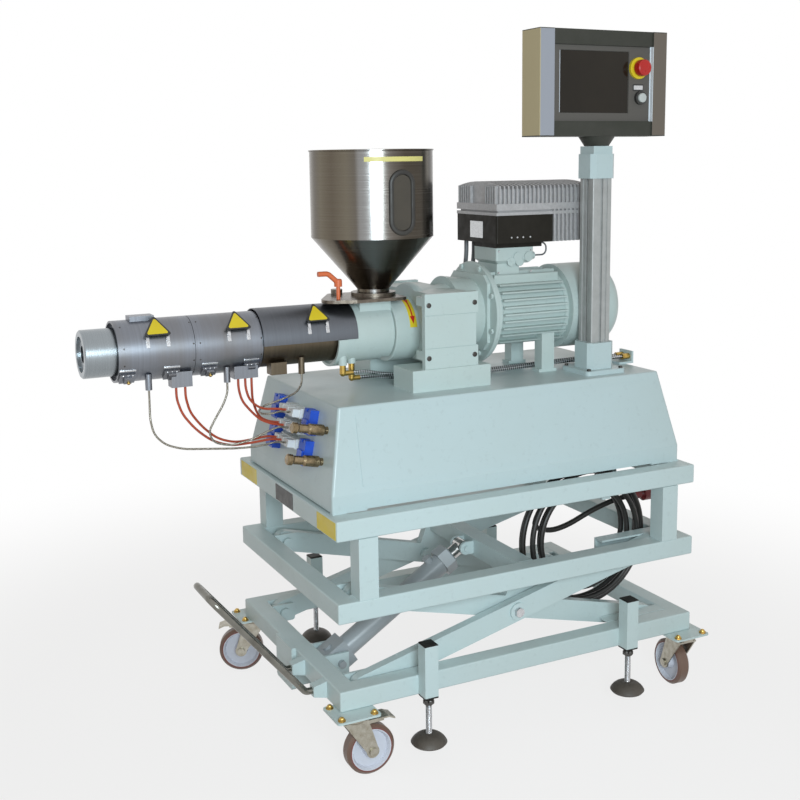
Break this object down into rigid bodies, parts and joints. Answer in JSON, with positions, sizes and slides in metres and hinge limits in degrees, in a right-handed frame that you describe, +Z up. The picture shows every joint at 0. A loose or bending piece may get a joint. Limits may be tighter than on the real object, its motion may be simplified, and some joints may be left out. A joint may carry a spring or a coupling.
{
  "type": "plastic extruder",
  "caption": "Small plastic extruder with hopper, heated barrel, geared motor and swivel control panel on a hydraulic scissor-lift trolley with castors.",
  "frame": {"origin": "on the floor, below the middle of the machine's overall length and width", "axes": "+X along the barrel from nose to motor, +Y to the far side, +Z up"},
  "size_m": [1.566, 0.806, 1.773],
  "materials": {
    "black_plastic": "black plastic",
    "brass": "brass",
    "bright_steel": "brushed stainless",
    "cable_black": "black rubber",
    "chrome_bar": "chrome plated",
    "conduit_grey": "dark grey",
    "cylinder_grey": "grey enamel",
    "foot_pad": "dark brown plastic pad on a bright spindle",
    "fork_steel": "zinc plated pressed steel",
    "frame_paint": "satin light grey enamel",
    "heat_sink": "cast aluminium",
    "heater_band": "heat stained metal",
    "hook_steel": "satin",
    "hopper_steel": "polished stainless",
    "housing_paint": "satin light grey enamel",
    "inverter_black": "black",
    "lever_orange": "orange",
    "panel_grey": "grey-blue enamel",
    "plug_red": "red",
    "plug_white": "white",
    "post_aluminium": "anodised",
    "push_grey": "translucent white",
    "red_silicone": "red silicone",
    "socket_blue": "blue",
    "steel_braid": "braided steel",
    "stop_red": "red",
    "wheel": "white nylon core with brown polyurethane tread"
  },
  "bodies": {
    "base": {"base_frame": "frame_paint", "leg_tubes": "frame_paint", "leg_caps": "black_plastic", "tow_handle": "chrome_bar", "cylinder_anchor": "frame_paint"},
    "foot_near_left": {"levelling_foot_near_left": "foot_pad"},
    "fork_near_left": {"castor_fork_near_left": "fork_steel"},
    "wheel_near_left": {"castor_wheel_near_left": "wheel"},
    "pedal_near_left": {"brake_pedal_near_left": "fork_steel"},
    "foot_far_left": {"levelling_foot_far_left": "foot_pad"},
    "fork_far_left": {"castor_fork_far_left": "fork_steel"},
    "wheel_far_left": {"castor_wheel_far_left": "wheel"},
    "pedal_far_left": {"brake_pedal_far_left": "fork_steel"},
    "foot_near_right": {"levelling_foot_near_right": "foot_pad"},
    "fork_near_right": {"castor_fork_near_right": "fork_steel"},
    "wheel_near_right": {"castor_wheel_near_right": "wheel"},
    "foot_far_right": {"levelling_foot_far_right": "foot_pad"},
    "fork_far_right": {"castor_fork_far_right": "fork_steel"},
    "wheel_far_right": {"castor_wheel_far_right": "wheel"},
    "outer_arms": {"outer_arms": "frame_paint"},
    "inner_arms": {"inner_arm_frame": "frame_paint"},
    "lift_cylinder": {"lift_cylinder": "cylinder_grey"},
    "piston_rod": {"piston_rod": "chrome_bar"},
    "panel": {"panel_housing": "panel_grey"},
    "e_stop_button": {"e_stop_button": "stop_red"},
    "push_button": {"push_button": "push_grey"},
    "clamp_lever": {"clamp_lever": "lever_orange"},
    "hopper_lid": {"hopper_lid": "hopper_steel"},
    "platform": {"barrel": "bright_steel", "cable_hook": "hook_steel", "cooling_hoses": "steel_braid", "cover_panel": "housing_paint", "enclosure": "housing_paint", "fan_cowl": "housing_paint", "feed_housing": "housing_paint", "gearbox": "housing_paint", "heater_covers": "bright_steel", "heater_leads": "red_silicone", "heater_plugs": "plug_white", "heater_sockets": "socket_blue", "hopper": "hopper_steel", "inverter_base": "inverter_black", "inverter_conduits": "conduit_grey", "inverter_heat_sink": "heat_sink", "motor_body": "housing_paint", "motor_flange": "housing_paint", "panel_post": "post_aluminium", "post_fittings": "housing_paint", "power_cable_coil": "cable_black", "power_cable_tail": "cable_black", "power_plug": "plug_red", "rear_heat_shield": "bright_steel", "rear_heater_band": "heater_band", "sensor_plugs": "brass", "slide_gate": "bright_steel", "terminal_box": "housing_paint", "thermocouple_leads": "steel_braid", "upper_frame": "frame_paint", "water_fittings": "brass"}
  },
  "joints": [
    {"name": "lift", "type": "hinge", "parent": "base", "child": "outer_arms", "pos_m": [-0.209, 0, 0.19], "axis": [0, -1, 0], "range_deg": [0, 20]},
    {"name": "arm_cross", "type": "hinge", "parent": "outer_arms", "child": "inner_arms", "pos_m": [0.231, 0, 0.2985], "axis": [0, -1, 0], "range_deg": [-40, 0]},
    {"name": "platform_level", "type": "hinge", "parent": "inner_arms", "child": "platform", "pos_m": [-0.209, 0, 0.407], "axis": [0, -1, 0], "range_deg": [0, 20]},
    {"name": "cylinder_tilt", "type": "hinge", "parent": "base", "child": "lift_cylinder", "pos_m": [-0.164, 0, 0.145], "axis": [0, -1, 0], "range_deg": [0, 16]},
    {"name": "rod_stroke", "type": "slide", "parent": "lift_cylinder", "child": "piston_rod", "axis": [0.8452, 0, 0.5345], "range_m": [0, 0.0685]},
    {"name": "foot_screw_near_left", "type": "slide", "parent": "base", "child": "foot_near_left", "axis": [0, 0, 1], "range_m": [-0.038, 0]},
    {"name": "castor_swivel_near_left", "type": "hinge", "parent": "base", "child": "fork_near_left", "pos_m": [-0.265, -0.34, 0.16], "axis": [0, 0, 1], "continuous": true},
    {"name": "wheel_spin_near_left", "type": "hinge", "parent": "fork_near_left", "child": "wheel_near_left", "pos_m": [-0.223, -0.34, 0.0625], "axis": [0, 1, 0], "continuous": true},
    {"name": "brake_near_left", "type": "hinge", "parent": "fork_near_left", "child": "pedal_near_left", "pos_m": [-0.247, -0.34, 0.133], "axis": [0, -1, 0], "range_deg": [0, 10]},
    {"name": "foot_screw_far_left", "type": "slide", "parent": "base", "child": "foot_far_left", "axis": [0, 0, 1], "range_m": [-0.038, 0]},
    {"name": "castor_swivel_far_left", "type": "hinge", "parent": "base", "child": "fork_far_left", "pos_m": [-0.265, 0.34, 0.16], "axis": [0, 0, 1], "continuous": true},
    {"name": "wheel_spin_far_left", "type": "hinge", "parent": "fork_far_left", "child": "wheel_far_left", "pos_m": [-0.30394, 0.35573, 0.0625], "axis": [-0.3746, -0.9272, 0], "continuous": true},
    {"name": "brake_far_left", "type": "hinge", "parent": "fork_far_left", "child": "pedal_far_left", "pos_m": [-0.28169, 0.34674, 0.133], "axis": [0.3746, 0.9272, 0], "range_deg": [0, 10]},
    {"name": "foot_screw_near_right", "type": "slide", "parent": "base", "child": "foot_near_right", "axis": [0, 0, 1], "range_m": [-0.038, 0]},
    {"name": "castor_swivel_near_right", "type": "hinge", "parent": "base", "child": "fork_near_right", "pos_m": [0.727, -0.34, 0.16], "axis": [0, 0, 1], "continuous": true},
    {"name": "wheel_spin_near_right", "type": "hinge", "parent": "fork_near_right", "child": "wheel_near_right", "pos_m": [0.72993, -0.2981, 0.0625], "axis": [-0.9976, 0.0698, 0], "continuous": true},
    {"name": "foot_screw_far_right", "type": "slide", "parent": "base", "child": "foot_far_right", "axis": [0, 0, 1], "range_m": [-0.038, 0]},
    {"name": "castor_swivel_far_right", "type": "hinge", "parent": "base", "child": "fork_far_right", "pos_m": [0.727, 0.34, 0.16], "axis": [0, 0, 1], "continuous": true},
    {"name": "wheel_spin_far_right", "type": "hinge", "parent": "fork_far_right", "child": "wheel_far_right", "pos_m": [0.73139, 0.29823, 0.0625], "axis": [0.9945, 0.1045, 0], "continuous": true},
    {"name": "panel_swivel", "type": "hinge", "parent": "platform", "child": "panel", "pos_m": [0.557, -0.15, 1.5], "axis": [0, 0, 1], "range_deg": [-150, 150]},
    {"name": "e_stop_press", "type": "slide", "parent": "panel", "child": "e_stop_button", "axis": [0, 1, 0], "range_m": [0, 0.004]},
    {"name": "push_button_press", "type": "slide", "parent": "panel", "child": "push_button", "axis": [0, 1, 0], "range_m": [0, 0.003], "stiffness_N_per_m": 800},
    {"name": "clamp_turn", "type": "hinge", "parent": "platform", "child": "clamp_lever", "pos_m": [-0.149, -0.045, 1.13], "axis": [0, 0, 1], "range_deg": [-70, 40]},
    {"name": "lid_lift", "type": "slide", "parent": "platform", "child": "hopper_lid", "axis": [0, 0, 1], "range_m": [0, 0.15]}
  ],
  "couplings": [
    {"joint": "arm_cross", "follows": "lift", "ratio": -2},
    {"joint": "platform_level", "follows": "lift", "ratio": 1},
    {"joint": "cylinder_tilt", "follows": "lift", "ratio": 0.759},
    {"joint": "rod_stroke", "follows": "lift", "m_per_rad": 0.196}
  ]
}
